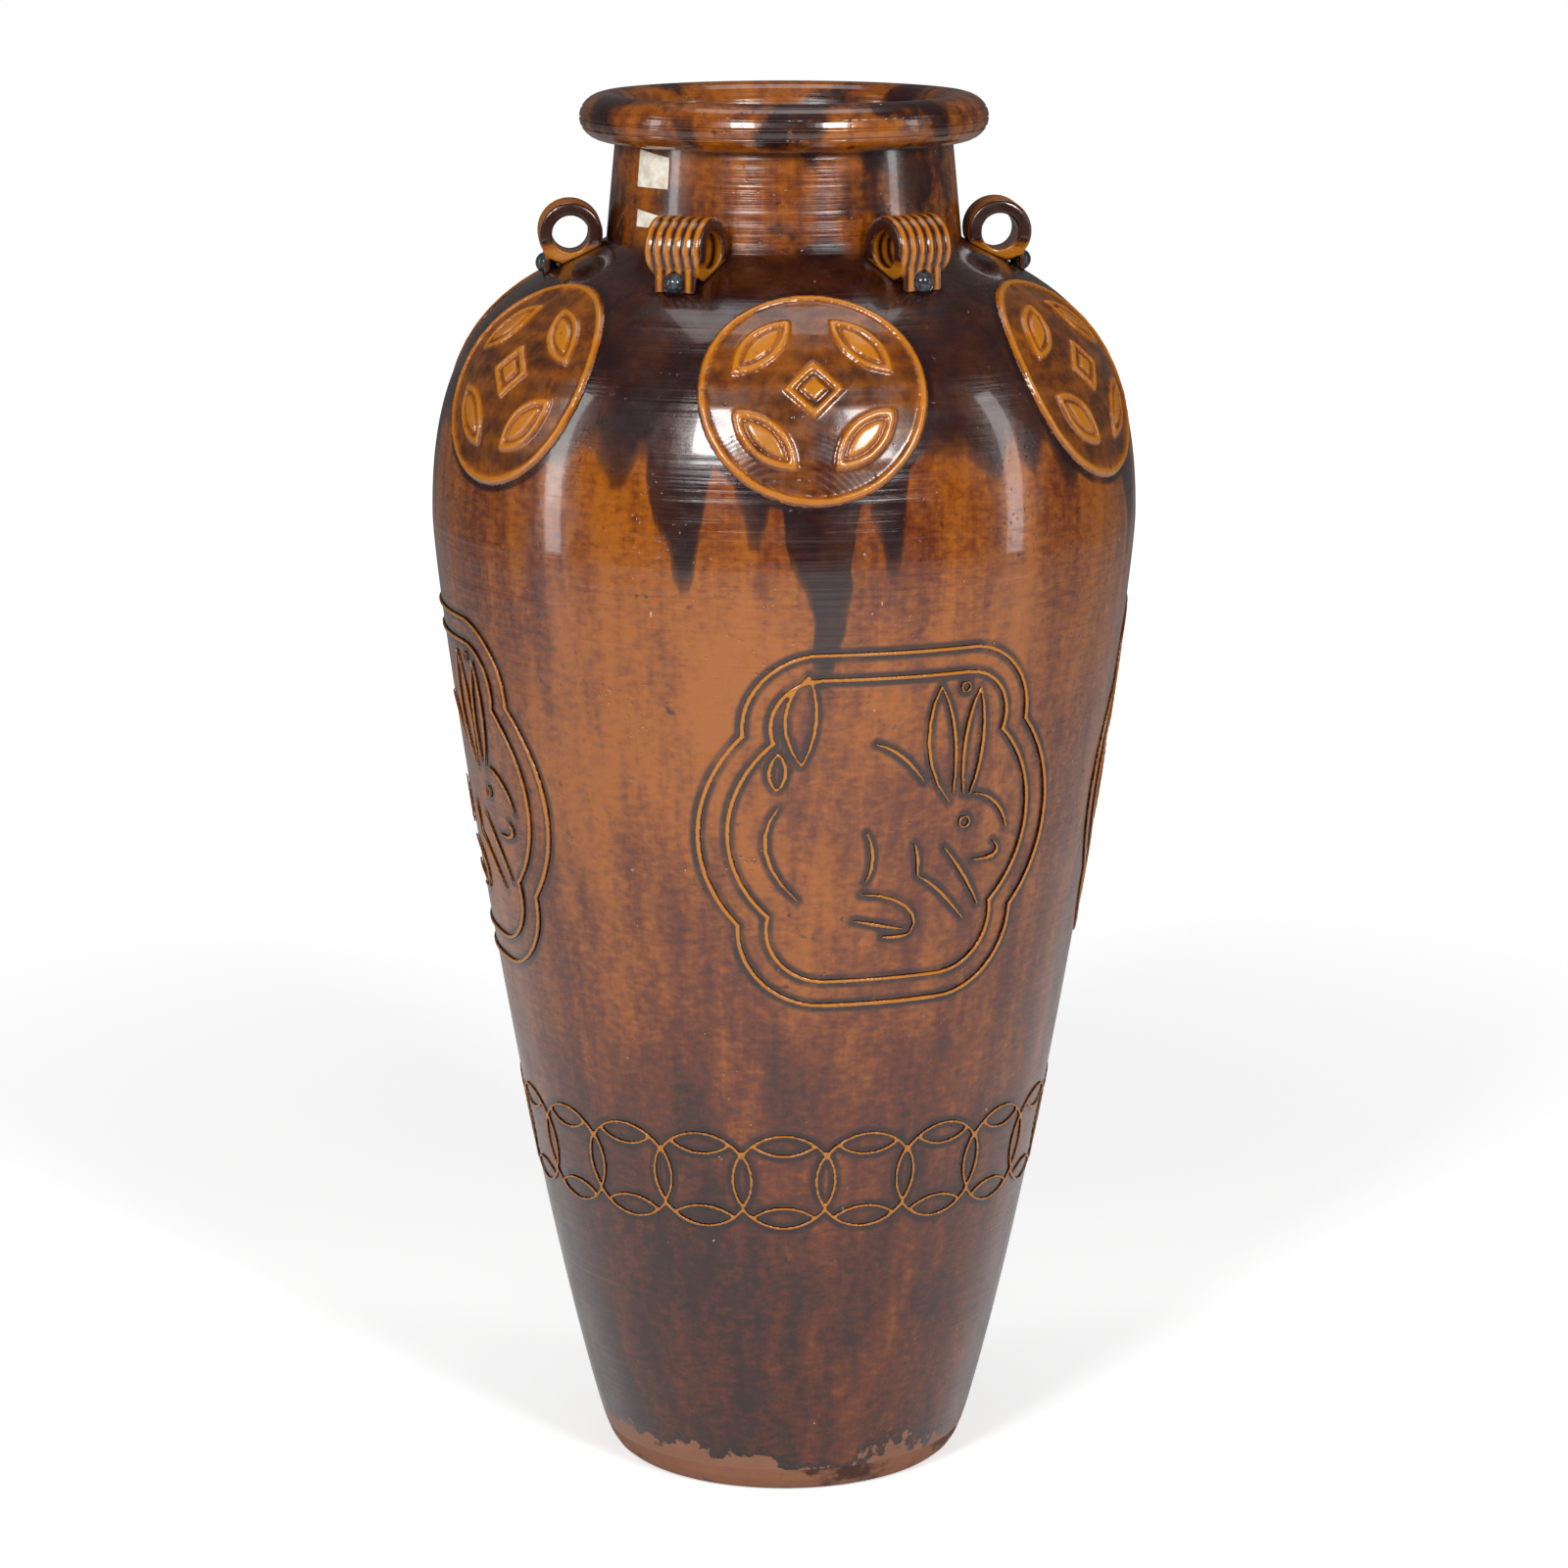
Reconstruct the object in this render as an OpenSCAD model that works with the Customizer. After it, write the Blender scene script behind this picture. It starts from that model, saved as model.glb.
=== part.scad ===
// Tall storage jar of the martaban kind in glazed stoneware.
// Coiled and thrown wall sections stand one on another, from a flat slab up to a rolled rim.
// Six combed strap lugs, six coin roundels, four lobed rabbit panels and a band of coins sit on them.
// Millimetres. The origin is the middle of the underside, +Z is up and -Y is the front.

/* [Foot] */
// Radius of the flat underside
base_r = 99; // [88:1:106]
// Thickness of the bottom slab
base_t = 16; // [10:1:22]
// Radius where the rounded heel runs into the wall
heel_r = 117; // [112:1:130]
// Height of the rounded heel
heel_h = 30; // [26:1:40]
// Outward lean of the wall above the heel, in degrees
foot_lean = 15.4; // [10:0.2:20]

/* [Wall] */
// Wall thickness
wall_t = 11; // [8:0.5:14]
// Radius at the widest line
belly_r = 212.5; // [190:0.5:240]
// Height of the widest line
belly_z = 590; // [578:1:640]
// Length over which the wall keeps its lean before it curves in
lean_run = 183; // [120:1:240]
// Length over which the wall stays upright below the widest line
upright_run = 41; // [25:1:90]
// Height of the joint between the foot and body sections
foot_joint_z = 268; // [255:1:290]
// Height of the joint between the body and belly sections
body_joint_z = 500; // [460:1:530]
// Height of the joint between the belly and shoulder sections
belly_joint_z = 570; // [555:1:576]

/* [Shoulder] */
// Height from the widest line to the root of the neck
shoulder_h = 163.6; // [150:0.2:180]
// Length over which the shoulder stays upright above the widest line
shoulder_rise = 122; // [95:1:130]
// Slope of the shoulder at the neck, in degrees
shoulder_slope = 28.5; // [22:0.5:36]
// Length over which the shoulder keeps that slope
slope_run = 56.3; // [40:0.1:65]

/* [Neck and rim] */
// Radius at the root of the neck
neck_root_r = 106.4; // [103:0.2:110]
// Radius at the top of the neck
neck_top_r = 100.8; // [98:0.2:103]
// Height of the neck
neck_h = 58.4; // [50:0.2:80]
// Radius of the mouth
mouth_r = 92; // [84:0.5:95]
// Largest radius of the rolled rim
rim_r = 122; // [116:0.5:130]
// Radius of the crest of the rim
crest_r = 106; // [103:0.5:110]
// Height of the rolled rim
rim_h = 28; // [22:0.5:34]
// Turned grooves round the rim
rim_grooves = 3; // [2:1:4]
// Radius of a turned groove
groove_r = 1; // [0.6:0.1:1.4]
// Turn between neighbouring grooves round the roll, in degrees
groove_step = 24; // [18:1:28]

/* [Strap lugs] */
// Turn of the first lug from the front, in degrees
lug_turn = -26; // [-32:1:-22]
// Distance from the jar's axis to the middle of a lug's eye
lug_reach = 128; // [126:0.5:134]
// Radius of the eye
eye_r = 11; // [8:0.5:12]
// Clay left between the eye and the shoulder
eye_floor = 4.5; // [3:0.5:6]
// Thickness of the strap at its ridges
strap_t = 8.3; // [7:0.1:9]
// Combed ridges across the strap
ridge_n = 6; // [5:1:7]
// Distance from one ridge to the next
ridge_pitch = 6.1; // [5:0.1:6.5]
// Depth of the combed grooves
comb_depth = 2; // [1.5:0.1:2.6]
// Width of the strap at its outer foot
strap_foot_w = 26; // [22:0.5:30]
// Depth of the outer leg's face inside the strap's ridges
leg_sink = 3.3; // [3:0.1:4]
// Radius of the clay pellet pressed on the outer foot
pellet_r = 6.3; // [5:0.1:7]
// Distance from the middle of the eye out to the middle of the pellet
pellet_out = 14.5; // [13:0.5:17]
// Height of the pellet's middle over the shoulder
pellet_lift = 5; // [4:0.2:6]

/* [Coin roundels] */
// Turn of the front roundel from the front, in degrees
roundel_turn = 5; // [0:1:8]
// Height of the middle of a roundel
roundel_z = 687; // [680:1:690]
// Radius of the pressed disc
roundel_r = 66; // [60:0.5:67]
// Thickness of the pressed disc
roundel_t = 0.8; // [0.5:0.1:1.2]
// Height of the ridges over the shoulder
roundel_ridge_h = 2.4; // [1.6:0.1:3]
// Width of the ridges
roundel_ridge_w = 3.2; // [2.4:0.1:3.6]
// Distance from the edge of the disc to the ring ridge
roundel_edge = 1.5; // [0.5:0.1:3]
// Distance from the middle of the roundel to the middle of a petal
petal_out = 40; // [39:0.5:42]
// Half the length of a petal
petal_half_l = 23.8; // [20:0.2:25]
// Half the width of a petal
petal_half_w = 10.4; // [9.5:0.1:11.5]
// Groove between a petal's ridge and its raised heart
petal_groove = 2.6; // [2:0.1:3]
// Half the diagonal of the central lozenge
lozenge_half = 17; // [14.5:0.5:18]
// Half the diagonal of the raised heart of the lozenge
lozenge_heart = 7; // [5:0.5:8]

/* [Rabbit panels] */
// Turn of the front panel from the front, in degrees
panel_turn = 18.5; // [14:0.5:22]
// Height of the middle of a panel
panel_z = 434; // [430:1:440]
// Height of the raised lines over the wall
line_h = 1.6; // [1:0.1:2.2]
// Width of the raised lines
line_w = 2.4; // [1.8:0.1:3]
// Distance between the two lines of the border
border_gap = 15; // [10:0.5:18]
// Half the width of the border at its side lobes
side_reach = 108; // [104:0.5:112]
// Radius of a side lobe
side_r = 88.4; // [84:0.2:94]
// Half the width of the border at its top lobe
top_reach = 88; // [84:0.5:90]
// Radius of a top corner
top_r = 43; // [36:0.5:46]
// Height of the top of the border over the middle
top_rise = 105; // [98:0.5:110]
// Half the width of the border at its bottom lobe
bottom_reach = 85; // [80:0.5:87]
// Radius of a bottom corner
bottom_r = 50; // [42:0.5:52]
// Depth of the foot of the border under the middle
bottom_drop = 110; // [100:0.5:114]

/* [Coin band] */
// Height of the middle of the band
band_z = 212; // [206:1:216]
// Coins round the jar
coin_n = 20; // [18:1:20]
// Outer radius of a coin
coin_r = 31; // [30.5:0.1:31.5]
// Distance from the middle of a coin to the middle of the arcs that cross it
coin_shift = 47; // [44:0.5:50]
// Width of the raised lines of the coins
coin_line_w = 2; // [1.4:0.1:2.6]
// Height of the raised lines of the coins
coin_line_h = 1.2; // [0.8:0.1:1.6]

/* [Hidden] */
$fn = 96;

// Turns of the repeated pieces from the front, anticlockwise seen from above
lug_at = [for (i = [0 : 5]) lug_turn + 60 * i];
roundel_at = [for (i = [0 : 5]) roundel_turn + 60 * i];
// The panels were pressed by eye and are not evenly spaced
panel_gap = [0, 87.5, 175, 262.5];
panel_at = [for (gap = panel_gap) panel_turn + gap];

// Steps along the stretches of the wall's curve
heel_n = 4;
foot_n = 7;
body_n = 6;
belly_n = 2;
waist_n = 1;
shoulder_n = 16;
stroke_n = 6;
// Points round one tooth of the comb
tooth_n = 6;

// Heights that follow from the sizes above
neck_root_z = belly_z + shoulder_h;
neck_top_z = neck_root_z + neck_h;

// The wall's outer curve in three stretches, each a cubic with its own tangents
lean_dir = [sin(foot_lean), cos(foot_lean)];
slope_dir = [-cos(shoulder_slope), sin(shoulder_slope)];
heel_end = [heel_r, heel_h];
heel_corner = heel_end - lean_dir * heel_h / lean_dir.y;
heel_pull = 0.75;
heel_curve = [
    [base_r, 0],
    mix([base_r, 0], heel_corner, heel_pull),
    mix(heel_end, heel_corner, heel_pull),
    heel_end
];
lower_curve = [
    heel_end,
    heel_end + lean_dir * lean_run,
    [belly_r, belly_z - upright_run],
    [belly_r, belly_z]
];
shoulder_curve = [
    [belly_r, belly_z],
    [belly_r, belly_z + shoulder_rise],
    [neck_root_r, neck_root_z] - slope_dir * slope_run,
    [neck_root_r, neck_root_z]
];

// Distance between neighbouring coins, straight across
coin_pitch = 2 * bez(lower_curve, t_at(lower_curve, band_z)).x * sin(180 / coin_n);

// Places of the joints along those curves
slab_at = t_at(heel_curve, base_t);
foot_joint_at = t_at(lower_curve, foot_joint_z);
body_joint_at = t_at(lower_curve, body_joint_z);
belly_joint_at = t_at(lower_curve, belly_joint_z);

// Middle of a roundel on the shoulder and the tilt of the shoulder there
roundel_mid_at = t_at(shoulder_curve, roundel_z);
roundel_mid = bez(shoulder_curve, roundel_mid_at);
roundel_run = bez_run(shoulder_curve, roundel_mid_at);
roundel_tilt = atan2(-roundel_run.x, roundel_run.y);
// The shoulder falls away from a roundel's plane by less than this
roundel_reach_in = 34;
roundel_reach_out = 8;

// Middle of the eye and of the pellet
eye_z = shoulder_z(lug_reach) + eye_r + eye_floor;
strap_r = eye_r + strap_t;
strap_w = ridge_n * ridge_pitch;
pellet_z = shoulder_z(lug_reach + pellet_out) + pellet_lift;
// Length that takes a leg well into the shoulder before it is trimmed
leg_l = strap_r + eye_r + eye_floor;
// Clay between the eye and the inner face of the leg
leg_skin = 1.5;
// Hair gap that keeps the coins' sectors apart
coin_gap = 0.3;

function mix(a, b, t) = a + (b - a) * t;
function reverse(list) = [for (i = [len(list) - 1 : -1 : 0]) list[i]];
function rest(list) = [for (i = [1 : len(list) - 1]) list[i]];

// Point of a cubic curve and the direction in which it runs
function bez(p, t) = pow(1 - t, 3) * p[0] + 3 * pow(1 - t, 2) * t * p[1]
    + 3 * (1 - t) * t * t * p[2] + pow(t, 3) * p[3];
function bez_run(p, t) = pow(1 - t, 2) * (p[1] - p[0]) + 2 * (1 - t) * t * (p[2] - p[1])
    + t * t * (p[3] - p[2]);

// Point at a distance to the right of a curve, which is outside on a curve that climbs
function beside(p, t, d) = let (run = bez_run(p, t)) bez(p, t) + d * [run.y, -run.x] / norm(run);
function stretch(p, t0, t1, n, d = 0) = [for (i = [0 : n]) beside(p, mix(t0, t1, i / n), d)];

// Place on a climbing curve at a height, and on the shoulder at a radius, by halving
function t_at(p, z, lo = 0, hi = 1, n = 40) = let (mid = (lo + hi) / 2)
    n == 0 ? mid : bez(p, mid).y < z ? t_at(p, z, mid, hi, n - 1) : t_at(p, z, lo, mid, n - 1);
function t_at_r(r, lo = 0, hi = 1, n = 40) = let (mid = (lo + hi) / 2)
    n == 0 ? mid : bez(shoulder_curve, mid).x > r ? t_at_r(r, mid, hi, n - 1) : t_at_r(r, lo, mid, n - 1);
function shoulder_z(r) = bez(shoulder_curve, t_at_r(r)).y;

// Stretches of the wall at a distance from its outer face
function foot_line(d = 0) = stretch(lower_curve, 0, foot_joint_at, foot_n, d);
function body_line(d = 0) = stretch(lower_curve, foot_joint_at, body_joint_at, body_n, d);
function belly_line(d = 0) = stretch(lower_curve, body_joint_at, belly_joint_at, belly_n, d);
function waist_line(d = 0) = stretch(lower_curve, belly_joint_at, 1, waist_n, d);
function shoulder_line(d = 0) = stretch(shoulder_curve, 0, 1, shoulder_n, d);

module wall_ring(outer, inner) {
    rotate_extrude() polygon(concat(outer, reverse(inner)));
}

// Everything under the shoulder's outer face, to trim what is pressed on to it
module shoulder_core() {
    rotate_extrude() polygon(concat([[0, belly_z]], shoulder_line(), [[0, neck_root_z]]));
}

module base_slab() {
    color("sienna") rotate_extrude()
        polygon(concat([[0, 0]], stretch(heel_curve, 0, slab_at, heel_n), [[0, base_t]]));
}

module foot_wall() {
    inner = foot_line(-wall_t);
    seat_in = [inner[0].x - (inner[0].y - base_t) * tan(foot_lean), base_t];
    heel = stretch(heel_curve, slab_at, 1, heel_n);
    color("saddlebrown") wall_ring(concat(heel, rest(foot_line())), concat([seat_in], inner));
}

module body_wall() {
    color("saddlebrown") wall_ring(body_line(), body_line(-wall_t));
}

module belly_wall() {
    color("saddlebrown") wall_ring(belly_line(), belly_line(-wall_t));
}

module shoulder_wall() {
    inner = concat(waist_line(-wall_t), rest(shoulder_line(-wall_t)), [[mouth_r, neck_root_z]]);
    color("maroon") wall_ring(concat(waist_line(), rest(shoulder_line())), inner);
}

module neck_wall() {
    outer = [[neck_root_r, neck_root_z], [neck_top_r, neck_top_z]];
    inner = [[mouth_r, neck_root_z], [mouth_r, neck_top_z]];
    color("saddlebrown") wall_ring(outer, inner);
}

// The roll is a quarter round on the inside of its crest and a half round on the outside
module rim_roll() {
    mid = [crest_r, neck_top_z + rim_h / 2];
    reach = rim_r - crest_r;
    lip = crest_r - mouth_r;
    outside = [for (a = [-90 : 12 : 90]) mid + [reach * cos(a), rim_h / 2 * sin(a)]];
    inside = [for (a = [105 : 15 : 180]) mid + [lip * cos(a), rim_h / 2 * sin(a)]];
    color("saddlebrown") difference() {
        rotate_extrude() polygon(concat(outside, inside, [[mouth_r, neck_top_z]]));
        for (i = [0 : rim_grooves - 1]) {
            a = (i - (rim_grooves - 1) / 2) * groove_step;
            rotate_extrude() translate(mid + [reach * cos(a), rim_h / 2 * sin(a)]) circle(groove_r, $fn = 24);
        }
    }
}

// Section across the strap, from the eye out, with one round ridge for each tooth of the comb
module strap_section() {
    band_t = strap_t - comb_depth;
    crests = [for (i = [0 : ridge_n - 1]) for (a = [180 / tooth_n / 2 : 180 / tooth_n : 180])
        [eye_r + band_t + comb_depth * sin(a), (i - (ridge_n - 1) / 2 - cos(a) / 2) * ridge_pitch]];
    side = strap_w / 2;
    polygon(concat([[eye_r, -side], [eye_r + band_t, -side]], crests,
        [[eye_r + band_t, side], [eye_r, side]]));
}

// The strap seen along the radius: full width over the eye, drawn in to the foot
module strap_front() {
    half = strap_w / 2 + 1;
    foot = strap_foot_w / 2;
    polygon([[-half, strap_r + 1], [half, strap_r + 1], [half, 0], [foot, -strap_r], [foot, -leg_l - strap_r],
        [-foot, -leg_l - strap_r], [-foot, -strap_r], [-half, 0]]);
}

module at_eye() {
    translate([0, -lug_reach, eye_z]) rotate([0, 90, 0]) children();
}

module pellet_ball() {
    translate([0, -lug_reach - pellet_out, pellet_z]) sphere(pellet_r, $fn = 32);
}

// The leg that carries the ring's outer side, seen along the eye
module leg_side() {
    translate([0, leg_sink - strap_r]) square([leg_l, strap_r - leg_sink - eye_r - leg_skin]);
}

// A combed strap rolled into a ring round the eye, with an outer leg down to the shoulder
module lug(turn) {
    color("goldenrod") rotate([0, 0, turn]) difference() {
        union() {
            intersection() {
                at_eye() rotate_extrude($fn = 64) strap_section();
                translate([0, -lug_reach, eye_z]) rotate([90, 0, 0])
                    linear_extrude(4 * strap_r, center = true) strap_front();
            }
            at_eye() linear_extrude(strap_foot_w, center = true) leg_side();
        }
        shoulder_core();
        pellet_ball();
    }
}

module pellet(turn) {
    color("darkslategray") rotate([0, 0, turn]) difference() {
        pellet_ball();
        shoulder_core();
    }
}

// A pointed oval between two arcs, drawn in evenly from its edge
module petal(inset) {
    arc_r = (pow(petal_half_l, 2) + pow(petal_half_w, 2)) / (2 * petal_half_w);
    intersection_for (side = [-1, 1])
        translate([side * (arc_r - petal_half_w), 0]) circle(arc_r - inset);
}

module lozenge(half) {
    rotate(45) square(half * sqrt(2), center = true);
}

module roundel_ridges() {
    ring_r = roundel_r - roundel_edge;
    difference() {
        circle(ring_r);
        circle(ring_r - roundel_ridge_w);
    }
    for (quarter = [0 : 3]) rotate(45 + 90 * quarter) translate([petal_out, 0]) {
        difference() {
            petal(0);
            petal(roundel_ridge_w);
        }
        petal(roundel_ridge_w + petal_groove);
    }
    difference() {
        lozenge(lozenge_half);
        lozenge(lozenge_half - roundel_ridge_w * sqrt(2));
    }
    lozenge(lozenge_heart);
}

// A layer of the shoulder's own curve, cut to a drawing held square to the roundel's middle
module pressed_on_shoulder(thickness) {
    intersection() {
        wall_ring(shoulder_line(thickness), shoulder_line());
        translate([0, -roundel_mid.x, roundel_mid.y]) rotate([90 - roundel_tilt, 0, 0])
            translate([0, 0, -roundel_reach_in])
                linear_extrude(roundel_reach_in + roundel_reach_out) children();
    }
}

module roundel(turn) {
    color("darkgoldenrod") rotate([0, 0, turn]) {
        pressed_on_shoulder(roundel_t) circle(roundel_r);
        pressed_on_shoulder(roundel_ridge_h) roundel_ridges();
    }
}

// The lobed border drawn in evenly: two side lobes, a top lobe and a bottom lobe
module border(inset) {
    for (side = [-1, 1]) {
        translate([side * (side_reach - side_r), 0]) circle(side_r - inset);
        translate([side * (top_reach - top_r), top_rise - top_r]) circle(top_r - inset);
        translate([side * (bottom_reach - bottom_r), bottom_r - bottom_drop]) circle(bottom_r - inset);
    }
    translate([top_r - top_reach, 0]) square([2 * (top_reach - top_r), top_rise - inset]);
    translate([bottom_r - bottom_reach, inset - bottom_drop])
        square([2 * (bottom_reach - bottom_r), bottom_drop - inset]);
}

module border_line(inset) {
    difference() {
        border(inset);
        border(inset + line_w);
    }
}

// A drawn line from a to d that leans towards b and c and thins to its ends
module stroke(a, b, c, d) {
    function half_w(t) = line_w / 2 * (0.4 + 0.6 * sin(180 * t));
    steps = [for (i = [0 : stroke_n]) i / stroke_n];
    polygon(concat([for (t = steps) beside([a, b, c, d], t, half_w(t))],
        reverse([for (t = steps) beside([a, b, c, d], t, -half_w(t))])));
}

module eye_ring(at, r) {
    translate(at) difference() {
        circle(r, $fn = 24);
        circle(r - line_w / 2, $fn = 24);
    }
}

// The crouching rabbit, in millimetres from the middle of the panel
module rabbit() {
    // Ears
    stroke([27, 82], [17, 64], [17, 32], [36, 11]);
    stroke([27, 82], [39, 62], [40, 38], [38, 16]);
    stroke([53, 79], [44, 62], [42, 36], [45, 15]);
    stroke([53, 79], [59, 60], [58, 34], [49, 14]);
    // Head and muzzle
    stroke([52, 15], [66, 13], [75, 2], [77, -10]);
    stroke([54, -26], [64, -28], [79, -26], [68, -16]);
    eye_ring([47, -2], 4);
    // Back, rump and belly
    stroke([-12, 50], [0, 47], [10, 38], [19, 25]);
    stroke([-65, 14], [-77, -2], [-74, -24], [-52, -44]);
    stroke([-15, -3], [-9, -12], [-9, -26], [-14, -34]);
    // Chest and foreleg
    stroke([15, -12], [18, -18], [18, -25], [18, -32]);
    stroke([18, -32], [29, -37], [40, -50], [50, -62]);
    stroke([34, -16], [44, -27], [54, -42], [60, -55]);
    // Feet
    stroke([-16, -41], [6, -41], [25, -56], [15, -67]);
    stroke([-20, -57], [-10, -59], [0, -62], [11, -64]);
    stroke([-2, -68], [4, -69], [10, -69], [15, -67]);
    // Tail, and a leaf over it
    stroke([-67, 46], [-73, 38], [-73, 30], [-67, 23]);
    stroke([-67, 46], [-61, 39], [-61, 30], [-67, 23]);
    stroke([-52, 92], [-68, 78], [-68, 56], [-54, 38]);
    stroke([-52, 92], [-45, 76], [-45, 56], [-54, 38]);
    eye_ring([43, 80], 3.5);
}

// A layer of the wall's own curve, cut to a drawing held upright in front of it
module pressed_on_wall(outer, inner) {
    intersection() {
        wall_ring(outer, inner);
        rotate([90, 0, 0]) translate([0, 0, heel_r]) linear_extrude(belly_r) children();
    }
}

module panel(turn) {
    color("darkgoldenrod") rotate([0, 0, turn])
        pressed_on_wall(concat(body_line(line_h), rest(belly_line(line_h))),
            concat(body_line(), rest(belly_line())))
            translate([0, panel_z]) {
                border_line(0);
                border_line(border_gap);
                rabbit();
            }
}

module coin_rim() {
    difference() {
        circle(coin_r);
        circle(coin_r - coin_line_w);
    }
}

// One coin: its rim with the rims of both neighbours, and the arcs that leave a square hole
module coin() {
    for (side = [-1 : 1]) translate([side * coin_pitch, 0]) coin_rim();
    intersection() {
        circle(coin_r - coin_line_w / 2);
        for (side = [-1, 1]) translate([0, side * coin_shift]) coin_rim();
    }
}

// The slice of the band that one coin fills, less half the hair gap at each side
module coin_sector() {
    half = 180 / coin_n;
    side = coin_gap / 2;
    linear_extrude(foot_joint_z)
        polygon([[0, -side / sin(half)], 2 * belly_r * [sin(half), -cos(half)] - [side, 0],
            2 * belly_r * [-sin(half), -cos(half)] + [side, 0]]);
}

module coin_band() {
    color("darkgoldenrod") for (i = [0 : coin_n - 1]) rotate([0, 0, 360 / coin_n * i]) intersection() {
        pressed_on_wall(foot_line(coin_line_h), foot_line()) translate([0, band_z]) coin();
        coin_sector();
    }
}

base_slab();
foot_wall();
body_wall();
belly_wall();
shoulder_wall();
neck_wall();
rim_roll();
lug(lug_at[0]);  // lug_front_left
lug(lug_at[1]);  // lug_front_right
lug(lug_at[2]);  // lug_right
lug(lug_at[3]);  // lug_back_right
lug(lug_at[4]);  // lug_back_left
lug(lug_at[5]);  // lug_left
pellet(lug_at[0]);  // pellet_front_left
pellet(lug_at[1]);  // pellet_front_right
pellet(lug_at[2]);  // pellet_right
pellet(lug_at[3]);  // pellet_back_right
pellet(lug_at[4]);  // pellet_back_left
pellet(lug_at[5]);  // pellet_left
roundel(roundel_at[0]);  // roundel_front
roundel(roundel_at[1]);  // roundel_front_right
roundel(roundel_at[2]);  // roundel_back_right
roundel(roundel_at[3]);  // roundel_back
roundel(roundel_at[4]);  // roundel_back_left
roundel(roundel_at[5]);  // roundel_front_left
panel(panel_at[0]);  // panel_front
panel(panel_at[1]);  // panel_right
panel(panel_at[2]);  // panel_back
panel(panel_at[3]);  // panel_left
coin_band();
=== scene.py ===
# %% [markdown]
# # A glazed martaban jar
# The construction is already made as solids in one shared frame, in metres: the origin is the middle of
# the underside, +Z is up and -Y is the front. This script gives the jar its looks. The camera comes first,
# then the glazes, the wall, the relief and the labels, and the floor and the light come last.

# %% Load the frame
import bpy
import bmesh
import math
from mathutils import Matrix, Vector
from mathutils.bvhtree import BVHTree
from mathutils.kdtree import KDTree


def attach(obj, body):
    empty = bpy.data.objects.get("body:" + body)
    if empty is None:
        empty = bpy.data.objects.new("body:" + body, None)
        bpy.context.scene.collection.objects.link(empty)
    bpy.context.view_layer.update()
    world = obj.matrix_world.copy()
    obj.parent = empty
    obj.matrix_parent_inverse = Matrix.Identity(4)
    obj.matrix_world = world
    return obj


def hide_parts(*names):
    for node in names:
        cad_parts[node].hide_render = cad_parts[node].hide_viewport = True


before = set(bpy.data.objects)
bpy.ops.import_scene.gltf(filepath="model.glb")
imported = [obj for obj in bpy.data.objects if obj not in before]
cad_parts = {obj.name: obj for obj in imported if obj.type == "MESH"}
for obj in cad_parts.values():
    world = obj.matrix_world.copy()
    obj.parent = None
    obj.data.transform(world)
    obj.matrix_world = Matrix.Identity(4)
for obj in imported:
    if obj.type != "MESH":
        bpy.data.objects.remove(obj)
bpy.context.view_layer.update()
print("nodes", len(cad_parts))

# %% [markdown]
# The photo was taken from a little above the rim with a long lens, so the camera stands well back and
# looks down by about twelve degrees. A long lens keeps the sides of the jar nearly parallel.

# %% Camera
CAMERA_BACK = 2.8
CAMERA_UP = 1.0248
CAMERA_DOWN_DEG = 12.2116
LENS_MM = 107.16
camera_data = bpy.data.cameras.new("camera")
camera_data.lens = LENS_MM
camera_data.sensor_width = 36
camera = bpy.data.objects.new("camera", camera_data)
camera.location = (0, -CAMERA_BACK, CAMERA_UP)
camera.rotation_euler = (math.radians(90 - CAMERA_DOWN_DEG), 0, 0)
bpy.context.scene.collection.objects.link(camera)
bpy.context.scene.camera = camera
bpy.context.scene.view_settings.view_transform = "Standard"
print("camera at", tuple(camera.location))


# %% [markdown]
# Glazes are mixtures: a colour that pools and thins, fine lines left by the potter's turning, pits and
# specks. Each of these is a small node group with named sockets, so that every glaze can use it at its
# own strength. The helpers below keep the node code short.

# %% Node helpers
def new_material(name):
    material = bpy.data.materials.new(name)
    material.use_nodes = True
    shader = material.node_tree.nodes["Principled BSDF"]
    return material, material.node_tree, shader


def new_group(name, inputs, outputs):
    tree = bpy.data.node_groups.new(name, "ShaderNodeTree")
    for label, kind, value in inputs:
        socket = tree.interface.new_socket(label, in_out="INPUT", socket_type=kind)
        if value is not None:
            socket.default_value = value
    for label, kind in outputs:
        tree.interface.new_socket(label, in_out="OUTPUT", socket_type=kind)
    return tree, tree.nodes.new("NodeGroupInput"), tree.nodes.new("NodeGroupOutput")


def use_group(tree, group, **values):
    node = tree.nodes.new("ShaderNodeGroup")
    node.node_tree = group
    for label, value in values.items():
        set_input(tree, node.inputs[label.replace("_", " ")], value)
    return node


def set_input(tree, socket, value):
    if isinstance(value, bpy.types.NodeSocket):
        tree.links.new(value, socket)
    else:
        socket.default_value = value


def math_node(tree, operation, a, b=None, c=None):
    node = tree.nodes.new("ShaderNodeMath")
    node.operation = operation
    for socket, value in zip(node.inputs, (a, b, c)):
        if value is not None:
            set_input(tree, socket, value)
    return node.outputs[0]


def blend_colour(tree, share, a, b):
    node = tree.nodes.new("ShaderNodeMix")
    node.data_type = "RGBA"
    set_input(tree, node.inputs["Factor"], share)
    set_input(tree, node.inputs["A"], a)
    set_input(tree, node.inputs["B"], b)
    return node.outputs["Result"]


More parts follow.
